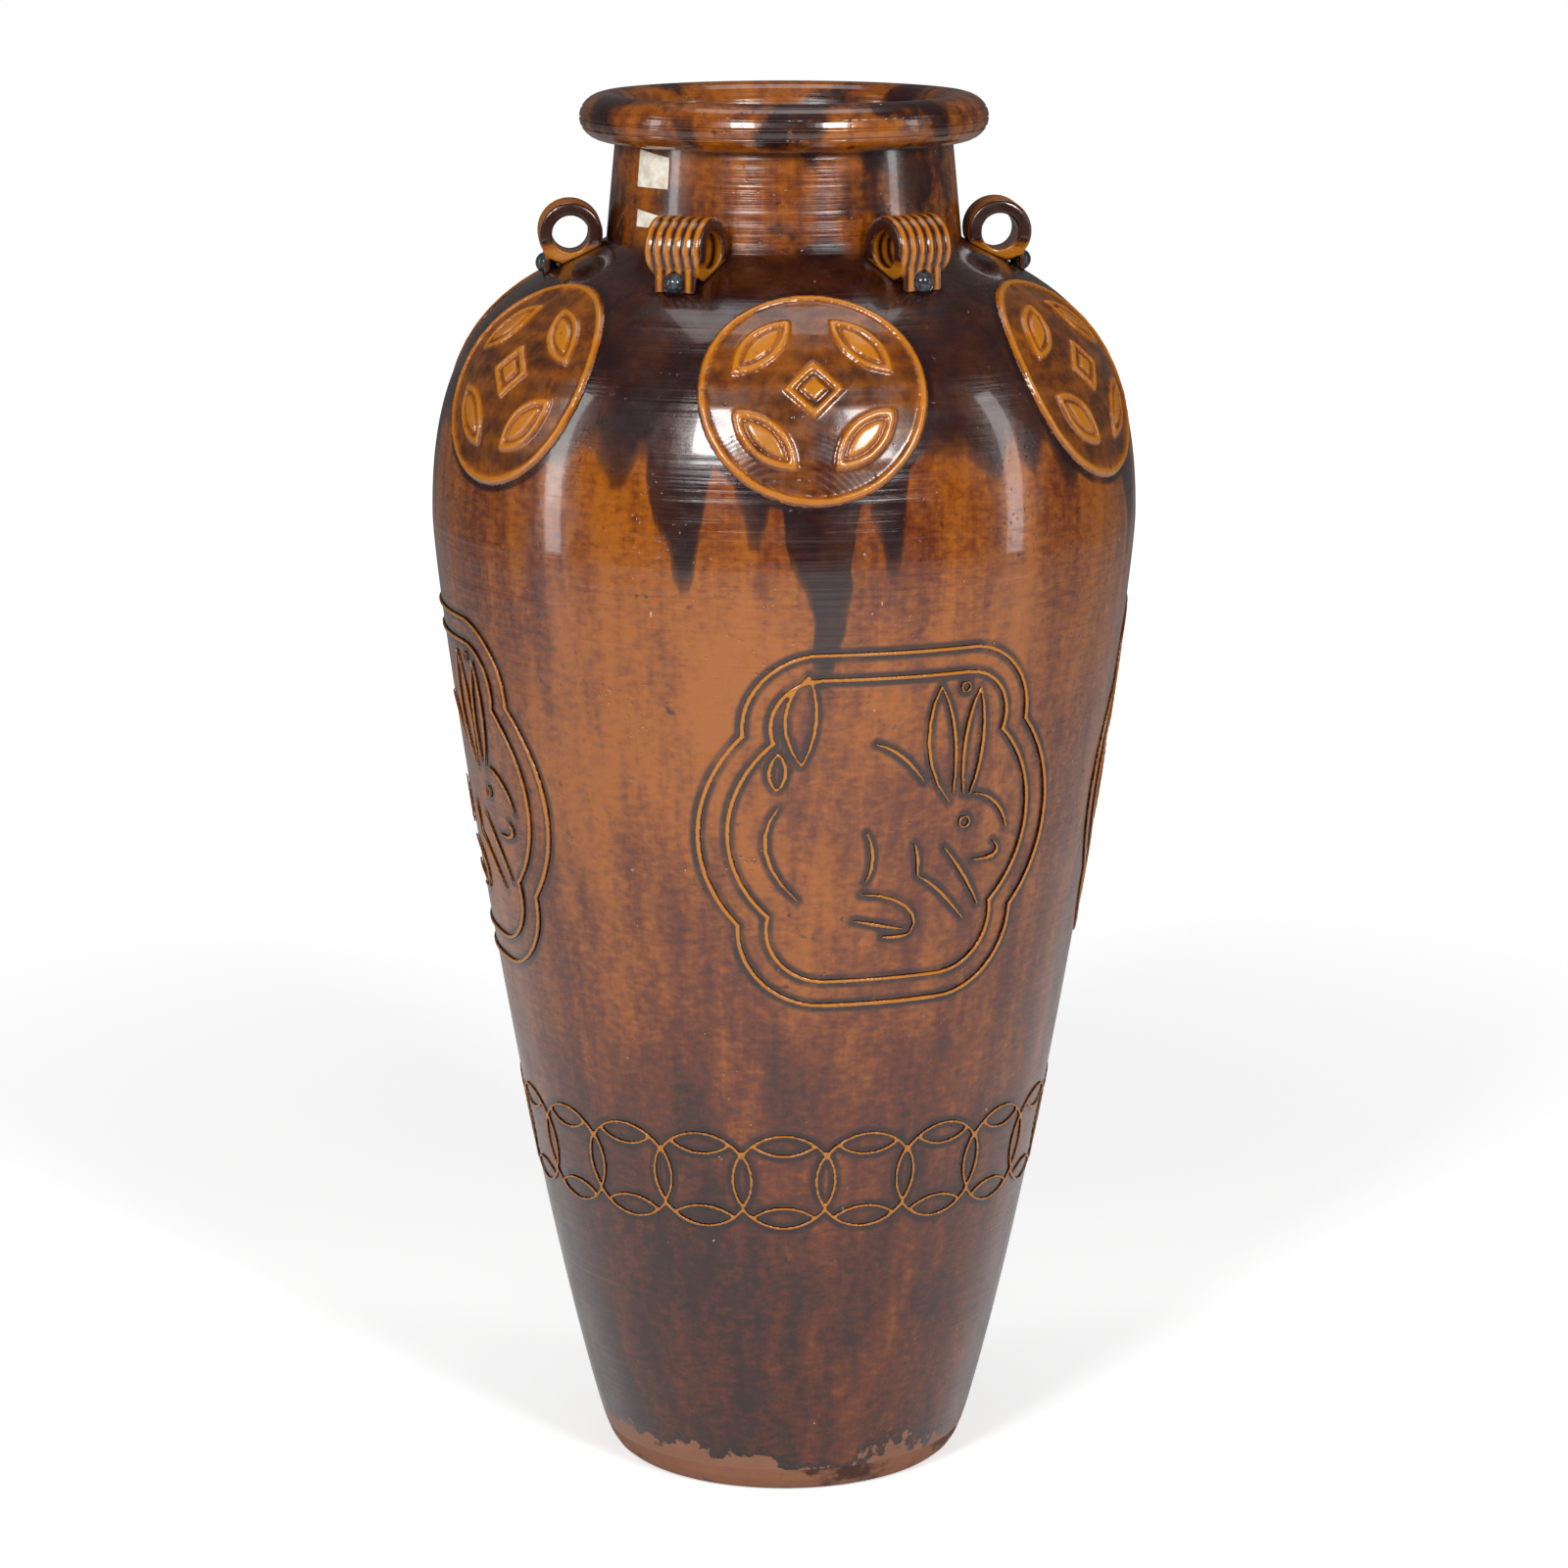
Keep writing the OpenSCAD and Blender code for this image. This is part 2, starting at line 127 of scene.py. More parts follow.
def ease(tree, value, low, high, to_low=0.0, to_high=1.0):
    node = tree.nodes.new("ShaderNodeMapRange")
    node.interpolation_type = "SMOOTHSTEP"
    set_input(tree, node.inputs["Value"], value)
    node.inputs["From Min"].default_value = low
    node.inputs["From Max"].default_value = high
    node.inputs["To Min"].default_value = to_low
    node.inputs["To Max"].default_value = to_high
    return node.outputs["Result"]


def noise(tree, place, scale, detail=4.0, rough=0.55):
    node = tree.nodes.new("ShaderNodeTexNoise")
    node.inputs["Scale"].default_value = scale
    node.inputs["Detail"].default_value = detail
    node.inputs["Roughness"].default_value = rough
    tree.links.new(place, node.inputs["Vector"])
    return node.outputs["Fac"]


def stretched(tree, place, scale):
    node = tree.nodes.new("ShaderNodeMapping")
    node.inputs["Scale"].default_value = scale
    tree.links.new(place, node.inputs["Vector"])
    return node.outputs["Vector"]


def object_place(tree):
    return tree.nodes.new("ShaderNodeTexCoord").outputs["Object"]


def bump(tree, height, strength, distance):
    node = tree.nodes.new("ShaderNodeBump")
    node.inputs["Strength"].default_value = strength
    node.inputs["Distance"].default_value = distance
    tree.links.new(height, node.inputs["Height"])
    return node.outputs["Normal"]


print("node helpers ready")

# %% [markdown]
# The dark glaze was poured over the neck and shoulder and ran down in drips before the firing. Seen from
# above, each drip has a place round the jar, a width and a length, so a curve over the turn gives the height
# at which the dark glaze ends. Drips behind the jar follow the same habit. A drip is a row of its turn from
# the front in degrees, half its width in degrees and its length in metres.

# %% Drips of the dark glaze
POUR_END = 0.652
DRIPS = [
    (-172, 9, 0.05), (-150, 7, 0.09), (-128, 8, 0.03), (-104, 7, 0.11), (-84, 6, 0.04), (-62, 9, 0.03),
    (-40, 6, 0.012), (-27, 4, 0.02), (-16.5, 5.5, 0.080), (-4.5, 4, 0.052), (6, 7, 0.131),
    (16.5, 4, 0.070), (34.5, 3.5, 0.022), (42.5, 3, 0.019), (52.5, 4.5, 0.028), (74, 6, 0.08),
    (96, 7, 0.03), (118, 6, 0.12), (141, 8, 0.05), (160, 6, 0.09)]
DRIP_SHAPE = [(-1.0, 0.0), (-0.8, 0.42), (-0.25, 0.72), (0.15, 1.0), (0.45, 0.78), (0.8, 0.4), (1.0, 0.0)]
WANDER_SCALE = 14.0
WANDER_TURN = 0.10
WANDER_HEIGHT = 0.022
LONGEST_DRIP = 0.16


def drip_curve(tree, turn):
    node = tree.nodes.new("ShaderNodeFloatCurve")
    curve = node.mapping.curves[0]
    knots = [(0.0, 0.0), (1.0, 0.0)]
    for place, half_width, length in DRIPS:
        for across, depth in DRIP_SHAPE:
            knots.append(((place + across * half_width) / 360 + 0.5, depth * length / LONGEST_DRIP))
    knots.sort()
    curve.points[0].location = knots[0]
    curve.points[1].location = knots[-1]
    for knot in knots[1:-1]:
        curve.points.new(*knot)
    node.mapping.update()
    tree.links.new(turn, node.inputs["Value"])
    return node.outputs["Value"]


pour, pour_in, pour_out = new_group(
    "poured_glaze", [("Place", "NodeSocketVector", None)],
    [("Dark", "NodeSocketFloat"), ("Edge", "NodeSocketFloat")])
apart = pour.nodes.new("ShaderNodeSeparateXYZ")
pour.links.new(pour_in.outputs["Place"], apart.inputs[0])
toward_viewer = math_node(pour, "MULTIPLY", apart.outputs["Y"], -1.0)
turn = math_node(pour, "ARCTAN2", apart.outputs["X"], toward_viewer)
wander = math_node(pour, "SUBTRACT", noise(pour, pour_in.outputs["Place"], WANDER_SCALE, 3.0), 0.5)
turn = math_node(pour, "MULTIPLY_ADD", wander, WANDER_TURN, turn)
turn_share = math_node(pour, "MULTIPLY_ADD", turn, 1 / (2 * math.pi), 0.5)
drop = math_node(pour, "MULTIPLY", drip_curve(pour, turn_share), LONGEST_DRIP)
ragged = math_node(pour, "MULTIPLY", wander, WANDER_HEIGHT)
over_end = math_node(pour, "ADD", math_node(pour, "SUBTRACT", apart.outputs["Z"], POUR_END), drop)
over_end = math_node(pour, "ADD", over_end, ragged)
pour.links.new(ease(pour, over_end, -0.006, 0.012), pour_out.inputs["Dark"])
above = ease(pour, over_end, -0.004, 0.002)
pour.links.new(math_node(pour, "MULTIPLY", above, ease(pour, over_end, 0.003, 0.016, 1.0, 0.0)),
               pour_out.inputs["Edge"])
print("drips", len(DRIPS))

# %% [markdown]
# A hand-thrown wall keeps fine rings from the wheel, and a wood firing leaves pits, pale specks and
# scratches in the glaze. One group makes the relief of these and another makes their marks.

# %% Turning lines, pits and specks
relief, relief_in, relief_out = new_group(
    "thrown_relief", [("Place", "NodeSocketVector", None), ("Rings", "NodeSocketFloat", 0.5),
                      ("Pits", "NodeSocketFloat", 0.5)], [("Height", "NodeSocketFloat")])
place = relief_in.outputs["Place"]
rings = noise(relief, stretched(relief, place, (3, 3, 240)), 1.0, 5.0)
broad = noise(relief, stretched(relief, place, (9, 9, 24)), 1.0, 2.0)
orange_peel = noise(relief, place, 240.0, 3.0)
pit_cells = relief.nodes.new("ShaderNodeTexVoronoi")
pit_cells.inputs["Scale"].default_value = 190.0
relief.links.new(place, pit_cells.inputs["Vector"])
pit_share = ease(relief, noise(relief, place, 21.0), 0.50, 0.66)
pits = ease(relief, pit_cells.outputs["Distance"], 0.05, 0.22, 1.0, 0.0)
pits = math_node(relief, "MULTIPLY", pits, pit_share)
height = math_node(relief, "MULTIPLY", rings, relief_in.outputs["Rings"])
height = math_node(relief, "MULTIPLY_ADD", broad, 1.1, height)
height = math_node(relief, "MULTIPLY_ADD", orange_peel, 0.10, height)
pits = math_node(relief, "MULTIPLY", pits, relief_in.outputs["Pits"])
height = math_node(relief, "SUBTRACT", height, pits)
relief.links.new(height, relief_out.inputs["Height"])

marks, marks_in, marks_out = new_group(
    "kiln_marks", [("Place", "NodeSocketVector", None), ("Amount", "NodeSocketFloat", 0.5)],
    [("Dark", "NodeSocketFloat"), ("Pale", "NodeSocketFloat")])
place = marks_in.outputs["Place"]
for label, scale, low, high in (("Dark", 85.0, 0.64, 0.72), ("Pale", 150.0, 0.70, 0.75)):
    spots = ease(marks, noise(marks, place, scale, 5.0, 0.65), low, high)
    spots = math_node(marks, "MULTIPLY", spots, marks_in.outputs["Amount"])
    marks.links.new(spots, marks_out.inputs[label])
print("groups", [group.name for group in bpy.data.node_groups])

# %% [markdown]
# One glaze covers the neck, shoulder, belly and foot, so one material does too. Amber shows where it is
# thin, red-brown where it is thicker and nearly black where the poured glaze lies on it. The colour
# streaks downwards, darkens to the foot and stops short of the underside, where the red clay is bare.

# %% Wall glaze
AMBER = (0.300, 0.082, 0.0022, 1)
RED_BROWN = (0.100, 0.0165, 0.0022, 1)
DEEP_BROWN = (0.022, 0.0045, 0.0025, 1)
PURPLE_BLACK = (0.0125, 0.0022, 0.0026, 1)
CREST_AMBER = (0.46, 0.160, 0.007, 1)
PALE_SPECK = (0.62, 0.47, 0.30, 1)
BARE_CLAY = (0.30, 0.125, 0.062, 1)
SHADED_CLAY = (0.20, 0.075, 0.038, 1)
CLAY_ROUGH = (0.8, 0.8, 0.8, 1)
GLAZE_END = 0.024
FOOT_SHADE = (0.08, 0.42)
NECK_CHANGE = (0.748, 0.762)


def glaze_colour(tree, place, amber_share):
    streak = noise(tree, stretched(tree, place, (52, 52, 4.5)), 1.0, 7.0, 0.68)
    cloud = noise(tree, stretched(tree, place, (6, 6, 4)), 1.0, 7.0, 0.66)
    grain = noise(tree, stretched(tree, place, (150, 150, 260)), 1.0, 4.0, 0.6)
    tone = math_node(tree, "MULTIPLY", streak, 0.36)
    tone = math_node(tree, "MULTIPLY_ADD", cloud, 0.40, tone)
    tone = math_node(tree, "MULTIPLY_ADD", grain, 0.24, tone)
    tone = math_node(tree, "ADD", tone, amber_share)
    colour = blend_colour(tree, ease(tree, tone, 0.36, 0.50), DEEP_BROWN, RED_BROWN)
    return blend_colour(tree, ease(tree, tone, 0.46, 0.64), colour, AMBER)


def make_wall_glaze():
    material, tree, shader = new_material("wall_glaze")
    place = object_place(tree)
    parts = tree.nodes.new("ShaderNodeSeparateXYZ")
    tree.links.new(place, parts.inputs[0])
    height = parts.outputs["Z"]
    low_shade = ease(tree, height, *FOOT_SHADE, -0.085, 0.045)
    colour = glaze_colour(tree, place, low_shade)
    # The poured dark glaze, which is worn through in patches on the neck
    poured = use_group(tree, pour, Place=place)
    neck_patch = ease(tree, noise(tree, place, 22.0, 4.0, 0.6), 0.40, 0.54)
    on_neck = math_node(tree, "MULTIPLY", ease(tree, height, *NECK_CHANGE), neck_patch)
    dark = math_node(tree, "MULTIPLY", poured.outputs["Dark"], math_node(tree, "SUBTRACT", 1.0, on_neck))
    thin = ease(tree, noise(tree, place, 30.0, 5.0, 0.6), 0.36, 0.62, 0.99, 0.86)
    veil = math_node(tree, "MULTIPLY", dark, thin)
    colour = blend_colour(tree, veil, colour, PURPLE_BLACK)
    edge = math_node(tree, "MULTIPLY", poured.outputs["Edge"], 0.45)
    colour = blend_colour(tree, edge, colour, DEEP_BROWN)
    # Dark pooled glaze and painted shade beside the raised pieces
    pool_and_shade = tree.nodes.new("ShaderNodeAttribute")
    pool_and_shade.attribute_name = "pool_and_shade"
    pool_and_shade_share = ease(tree, pool_and_shade.outputs["Fac"], 0.25, 0.72)
    pool_and_shade_share = math_node(tree, "MULTIPLY", pool_and_shade_share, ease(tree, noise(tree, place, 45.0, 3.0), 0.30, 0.52, 0.55, 1.0))
    colour = blend_colour(tree, math_node(tree, "MULTIPLY", pool_and_shade_share, 0.93), colour, PURPLE_BLACK)
    spots = use_group(tree, marks, Place=place, Amount=0.85)
    colour = blend_colour(tree, spots.outputs["Dark"], colour, DEEP_BROWN)
    colour = blend_colour(tree, spots.outputs["Pale"], colour, PALE_SPECK)
    # The ragged end of the glaze, over the bare clay of the foot
    chip = math_node(tree, "MULTIPLY_ADD", noise(tree, place, 26.0, 5.0, 0.7), 0.085, -0.0425)
    from_end = math_node(tree, "ADD", math_node(tree, "SUBTRACT", height, GLAZE_END), chip)
    bare = ease(tree, from_end, -0.0015, 0.0015, 1.0, 0.0)
    rim = math_node(tree, "MULTIPLY", ease(tree, from_end, 0.002, 0.008, 1.0, 0.0), 0.9)
    colour = blend_colour(tree, rim, colour, PURPLE_BLACK)
    clay = blend_colour(tree, noise(tree, place, 60.0, 6.0), SHADED_CLAY, BARE_CLAY)
    colour = blend_colour(tree, bare, colour, clay)
    tree.links.new(colour, shader.inputs["Base Color"])
    gloss = ease(tree, noise(tree, place, 40.0, 4.0), 0.3, 0.7, 0.16, 0.32)
    rough = blend_colour(tree, bare, gloss, CLAY_ROUGH)
    tree.links.new(rough, shader.inputs["Roughness"])
    surface = use_group(tree, relief, Place=place, Rings=0.9, Pits=1.4)
    tree.links.new(bump(tree, surface.outputs["Height"], 0.55, 0.0012), shader.inputs["Normal"])
    shader.inputs["Coat Weight"].default_value = 0.5
    shader.inputs["Coat Roughness"].default_value = 0.06
    return material


wall_glaze = make_wall_glaze()
print("made", wall_glaze.name)

# %% [markdown]
# Relief stands proud, so the glaze ran off its tops and left them amber, and pooled dark beside them, where
# painted shade darkens them as well.
# The raised pieces take a warmer glaze that darkens in patches, and the pellets a glossy blue-black one.

# %% Relief, pellet and clay finishes
PELLET_BLACK = (0.018, 0.020, 0.024, 1)
PELLET_GREY = (0.075, 0.085, 0.095, 1)


def make_relief_glaze(name, amber_share, dark_low, dark_high):
    material, tree, shader = new_material(name)
    place = object_place(tree)
    colour = glaze_colour(tree, place, amber_share)
    patch = ease(tree, noise(tree, place, 34.0, 4.0, 0.6), dark_low, dark_high)
    colour = blend_colour(tree, math_node(tree, "MULTIPLY", patch, 0.55), colour, DEEP_BROWN)
    lift = tree.nodes.new("ShaderNodeAttribute")
    lift.attribute_name = "lift"
    wobble = math_node(tree, "MULTIPLY_ADD", noise(tree, place, 55.0, 4.0, 0.6), 0.5, -0.25)
    top = math_node(tree, "ADD", lift.outputs["Fac"], wobble)
    crest = ease(tree, top, 0.55, 0.95)
    colour = blend_colour(tree, math_node(tree, "MULTIPLY", crest, 0.8), colour, CREST_AMBER)
    # Low on the relief and in the comb troughs the colour goes nearly black: dark pooled glaze and painted
    # shade
    colour = blend_colour(tree, ease(tree, top, 0.08, 0.5, 0.94, 0.0), colour, PURPLE_BLACK)
    spots = use_group(tree, marks, Place=place, Amount=0.6)
    colour = blend_colour(tree, spots.outputs["Dark"], colour, DEEP_BROWN)
    tree.links.new(colour, shader.inputs["Base Color"])
    gloss = ease(tree, noise(tree, place, 60.0, 4.0), 0.3, 0.7, 0.18, 0.32)
    tree.links.new(gloss, shader.inputs["Roughness"])
    surface = use_group(tree, relief, Place=place, Rings=0.3, Pits=1.0)
    tree.links.new(bump(tree, surface.outputs["Height"], 0.4, 0.001), shader.inputs["Normal"])
    shader.inputs["Coat Weight"].default_value = 0.3
    shader.inputs["Coat Roughness"].default_value = 0.08
    return material


def make_pellet_glaze():
    material, tree, shader = new_material("pellet_glaze")
    place = object_place(tree)
    cloud = ease(tree, noise(tree, place, 160.0), 0.4, 0.65)
    colour = blend_colour(tree, cloud, PELLET_BLACK, PELLET_GREY)
    tree.links.new(colour, shader.inputs["Base Color"])
    gloss = ease(tree, noise(tree, place, 220.0), 0.3, 0.7, 0.12, 0.24)
    tree.links.new(gloss, shader.inputs["Roughness"])
    surface = use_group(tree, relief, Place=place, Rings=0.2, Pits=0.6)
    tree.links.new(bump(tree, surface.outputs["Height"], 0.3, 0.0008), shader.inputs["Normal"])
    return material


def make_bare_clay():
    material, tree, shader = new_material("bare_clay")
    place = object_place(tree)
    colour = blend_colour(tree, noise(tree, place, 60.0, 6.0), SHADED_CLAY, BARE_CLAY)
    scorch = ease(tree, noise(tree, place, 24.0, 5.0, 0.65), 0.5, 0.62)
    colour = blend_colour(tree, math_node(tree, "MULTIPLY", scorch, 0.85), colour, DEEP_BROWN)
    tree.links.new(colour, shader.inputs["Base Color"])
    rough = ease(tree, noise(tree, place, 90.0), 0.3, 0.7, 0.7, 0.9)
    tree.links.new(rough, shader.inputs["Roughness"])
    surface = use_group(tree, relief, Place=place, Rings=0.3, Pits=1.6)
    tree.links.new(bump(tree, surface.outputs["Height"], 0.8, 0.0015), shader.inputs["Normal"])
    return material


lug_glaze = make_relief_glaze("lug_glaze", 0.08, 0.56, 0.66)
roundel_glaze = make_relief_glaze("roundel_glaze", 0.09, 0.54, 0.66)
line_glaze = make_relief_glaze("line_glaze", 0.04, 0.50, 0.64)
pellet_glaze = make_pellet_glaze()
bare_clay = make_bare_clay()
print("finishes", [material.name for material in bpy.data.materials if material.use_nodes])

# %% [markdown]
# The solids already lie in the right place, so a finish only has to be put in their material slots. The start
# of a node's name tells which finish it takes, and the wall glaze covers what is left.

# %% Put the finishes on the nodes
FINISHES = [("lug_", lug_glaze), ("pellet_", pellet_glaze), ("roundel_", roundel_glaze),
            ("panel_", line_glaze), ("coin_band", line_glaze), ("base_slab", bare_clay)]
for name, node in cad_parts.items():
    finish = wall_glaze
    for start, material in FINISHES:
        if name.startswith(start):
            finish = material
    node.data.materials.clear()
    node.data.materials.append(finish)
print("finished", len(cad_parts), "nodes")

# %% [markdown]
# The wall of the real jar is one skin of thrown clay. The solids already hold its shape in a few cones, so
# each section is spun again here as a fine smooth skin along the same curve. The curve comes first: a rounded
# heel, a long lower curve up to the widest line, and a shoulder curve in to the root of the neck.

# %% The wall's curve
FOOT_LEAN_DEG = 15.4
SHOULDER_SLOPE_DEG = 28.5
HEEL_TOP = Vector((0.117, 0.030))
WIDEST = Vector((0.2125, 0.590))
NECK_ROOT = Vector((0.1064, 0.7536))
LEAN_RUN = 0.183
UPRIGHT_RUN = 0.041
SHOULDER_RISE = 0.122
SLOPE_RUN = 0.0563
HEEL_PULL = 0.75
lean_turn = math.radians(FOOT_LEAN_DEG)
slope_turn = math.radians(SHOULDER_SLOPE_DEG)
LEAN = Vector((math.sin(lean_turn), math.cos(lean_turn)))
SLOPE = Vector((-math.cos(slope_turn), math.sin(slope_turn)))
LOWER = (HEEL_TOP, HEEL_TOP + LEAN * LEAN_RUN, WIDEST - Vector((0, UPRIGHT_RUN)), WIDEST)
SHOULDER = (WIDEST, WIDEST + Vector((0, SHOULDER_RISE)), NECK_ROOT - SLOPE * SLOPE_RUN, NECK_ROOT)
HEEL_START = Vector((0.099, 0.0))
HEEL_CORNER = HEEL_TOP - LEAN * HEEL_TOP.y / LEAN.y
HEEL = (HEEL_START, HEEL_START.lerp(HEEL_CORNER, HEEL_PULL), HEEL_TOP.lerp(HEEL_CORNER, HEEL_PULL), HEEL_TOP)
WALL_THICK = 0.011
SKIN_STEP = 0.0020
SKIN_TURNS = 600
SHARP_DEG = 40
INNER_SKIP = 12
FINE_STEPS = 400


def on_curve(curve, t):
    a, b, c, d = curve
    return a * (1 - t) ** 3 + b * 3 * (1 - t) ** 2 * t + c * 3 * (1 - t) * t * t + d * t ** 3


def curve_between(curves, low, high, step):
    """Points every step along the curves, between two heights."""
    fine = [on_curve(curve, i / FINE_STEPS) for curve in curves for i in range(FINE_STEPS + 1)]
    picked = []
    for before, after in zip(fine, fine[1:]):
        for level in (low, high):
            if before.y < level <= after.y or (level == low and not picked and before.y >= low):
                share = (level - before.y) / max(after.y - before.y, 1e-9)
                picked.append(before.lerp(after, min(max(share, 0.0), 1.0)))
        if picked and low < after.y < high and (after - picked[-1]).length >= step:
            picked.append(after.copy())
    return picked


print("wall from", tuple(HEEL_START), "to", tuple(NECK_ROOT))

# %% [markdown]
# A skin starts as a closed ring of points in one plane, down the outer side and up the inner side, and is
# spun round the jar's axis. The fine mesh has a use of its own: each point measures how far it is from the
# nearest raised piece, and the glaze is painted dark there, partly as pooled glaze and partly as painted
# shade.

# %% Spin the wall's sections
RAISED = ("lug_", "pellet_", "roundel_", "panel_", "coin_band")
# How far the pooled glaze and painted shade reach from a raised piece
POOL_AND_SHADE_REACH = 0.006
SLAB_TOP = 0.016
FOOT_JOINT = 0.268
BODY_JOINT = 0.500
BELLY_JOINT = 0.570
WALL_END = 0.753599
SECTIONS = [("foot_skin", "foot_wall", (HEEL, LOWER), SLAB_TOP, FOOT_JOINT),
            ("body_skin", "body_wall", (LOWER,), FOOT_JOINT, BODY_JOINT),
            ("belly_skin", "belly_wall", (LOWER,), BODY_JOINT, BELLY_JOINT),
            ("shoulder_skin", "shoulder_wall", (LOWER, SHOULDER), BELLY_JOINT, WALL_END)]


def raised_tree():
    verts, faces = [], []
    for name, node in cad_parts.items():
        if name.startswith(RAISED):
            start = len(verts)
            verts += [vert.co.copy() for vert in node.data.vertices]
            faces += [[start + i for i in face.vertices] for face in node.data.polygons]
    return BVHTree.FromPolygons(verts, faces)


def spin_section(name, node, curves, low, high, tree):
    outer = curve_between(curves, low, high, SKIN_STEP)
    inward = Vector((WALL_THICK, 0))
    inner = [p - inward for p in outer[::INNER_SKIP]] + [outer[-1] - inward]
    shell = bmesh.new()
    ring = [shell.verts.new((p.x, 0, p.y)) for p in outer + inner[::-1]]
    edges = [shell.edges.new(pair) for pair in zip(ring, ring[1:] + ring[:1])]
    bmesh.ops.spin(shell, geom=ring + edges, cent=(0, 0, 0), axis=(0, 0, 1), angle=math.tau,
                   steps=SKIN_TURNS, use_merge=True)
    bmesh.ops.recalc_face_normals(shell, faces=shell.faces)
    # Each point's share of pooled glaze and painted shade falls off with its distance from the nearest raised
    # piece
    pool_and_shade = shell.verts.layers.float.new("pool_and_shade")
    for vert in shell.verts:
        hit = tree.find_nearest(vert.co, POOL_AND_SHADE_REACH)
        vert[pool_and_shade] = 0.0 if hit[0] is None else 1.0 - hit[3] / POOL_AND_SHADE_REACH
    for face in shell.faces:
        face.smooth = True
    mesh = bpy.data.meshes.new(name)
    shell.to_mesh(mesh)
    shell.free()
    mesh.set_sharp_from_angle(angle=math.radians(SHARP_DEG))
    mesh.materials.append(wall_glaze)
    skin = bpy.data.objects.new(name, mesh)
    bpy.context.scene.collection.objects.link(skin)
    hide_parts(node)
    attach(skin, "root")
    print(name, "faces", len(mesh.polygons))


raised = raised_tree()
for section in SECTIONS:
    spin_section(*section, raised)

# %% [markdown]
# On the real jar every ridge was pressed in wet clay and then flooded with glaze, so no edge is sharp. A copy
# of each raised solid is remeshed in small cubes and smoothed, which rounds its edges. Each point then gets
# its lift: how high it stands over the wall, or how near it is to the crest of a comb ridge.

# %% Soften the raised pieces
LUG_TURN_DEG = -26.0
LUG_STEP_DEG = 60.0
LUG_NAMES = ("front_left", "front_right", "right", "back_right", "back_left", "left")
RIDGE_PITCH = 0.0061
FOOT_OF_WALL = 0.001
WELD = 1e-6
# The start of a name, the cube's size, the passes of smoothing and the height of a full ridge
SOFT_ROWS = [("roundel_", 0.0008, 6, 0.0024), ("panel_", 0.0008, 3, 0.0014),
             ("coin_band", 0.0008, 3, 0.0011), ("lug_", 0.0009, 3, None)]


def wall_tree():
    points = curve_between((HEEL, LOWER, SHOULDER), FOOT_OF_WALL, WALL_END, SKIN_STEP)
    line = KDTree(len(points))
    for i, p in enumerate(points):
        line.insert((p.x, 0, p.y), i)
    line.balance()
    return line, points


def height_over_wall(co, line, points):
    flat = Vector((math.hypot(co.x, co.y), 0, co.z))
    i = line.find(flat)[1]
    i = min(max(i, 1), len(points) - 2)
    along = (points[i + 1] - points[i - 1]).normalized()
    away = Vector((flat.x, flat.z)) - points[i]
    return away.x * along.y - away.y * along.x


def comb_lift(co, turn):
    across = co.x * math.cos(turn) + co.y * math.sin(turn)
    return 0.5 - 0.5 * math.cos(math.tau * across / RIDGE_PITCH)


def cube_copy(label, node, voxel):
    """A copy of a node's solid, welded and rebuilt from small cubes."""
    mesh = node.data.copy()
    mesh.name = label
    soft = bpy.data.objects.new(label, mesh)
    bpy.context.scene.collection.objects.link(soft)
    weld = bmesh.new()
    weld.from_mesh(mesh)
    bmesh.ops.remove_doubles(weld, verts=weld.verts, dist=WELD)
    weld.to_mesh(mesh)
    weld.free()
    remesh = soft.modifiers.new("remesh", "REMESH")
    remesh.mode = "VOXEL"
    remesh.voxel_size = voxel
    graph = bpy.context.evaluated_depsgraph_get()
    done = bpy.data.meshes.new_from_object(soft.evaluated_get(graph))
    soft.modifiers.clear()
    soft.data = done
    return soft


def soften(name, node, voxel, passes, full_lift, line, points):
    soft = cube_copy(name + "_soft", node, voxel)
    shape = bmesh.new()
    shape.from_mesh(soft.data)
    for _ in range(passes):
        bmesh.ops.smooth_vert(shape, verts=shape.verts, factor=0.5, use_axis_x=True, use_axis_y=True,
                              use_axis_z=True)
    lift = shape.verts.layers.float.new("lift")
    if full_lift is None:
        lug_name = name.removeprefix("lug_")
        turn = math.radians(LUG_TURN_DEG + LUG_STEP_DEG * LUG_NAMES.index(lug_name))
        for vert in shape.verts:
            vert[lift] = comb_lift(vert.co, turn)
    else:
        for vert in shape.verts:
            vert[lift] = height_over_wall(vert.co, line, points) / full_lift
    for face in shape.faces:
        face.smooth = True
    shape.to_mesh(soft.data)
    shape.free()
    soft.data.name = soft.name
    soft.data.materials.clear()
    soft.data.materials.append(node.data.materials[0])
    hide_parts(name)
    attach(soft, "root")
    print(soft.name, "faces", len(soft.data.polygons))


line, points = wall_tree()
for name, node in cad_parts.items():
    for start, voxel, passes, full_lift in SOFT_ROWS:
        if name.startswith(start):
            soften(name, node, voxel, passes, full_lift, line, points)

# %% [markdown]
# Two small paper labels are stuck on the neck. They are blank here. A label is a grid of small faces
# bent round the neck, so that it lies on the clay at every point, with a paper's thickness over it.

# %% Paper labels
NECK_FOOT = (0.1064, 0.7536)
NECK_TOP = (0.1008, 0.812)
PAPER_THICK = 0.00025
PAPER_GAP = 0.0002
PAPER_TEAR = 0.0035
PAPER_CREAM = (0.80, 0.76, 0.66, 1)
PAPER_STAIN = (0.52, 0.44, 0.32, 1)
# A label's name, its two sides in degrees from the front, and its lower and upper edges
LABELS = [("label_upper", -56.1, -41.0, 0.789, 0.8105), ("label_lower", -55.0, -40.5, 0.766, 0.776)]


def neck_radius(z):
    share = (z - NECK_FOOT[1]) / (NECK_TOP[1] - NECK_FOOT[1])
    return NECK_FOOT[0] + share * (NECK_TOP[0] - NECK_FOOT[0])


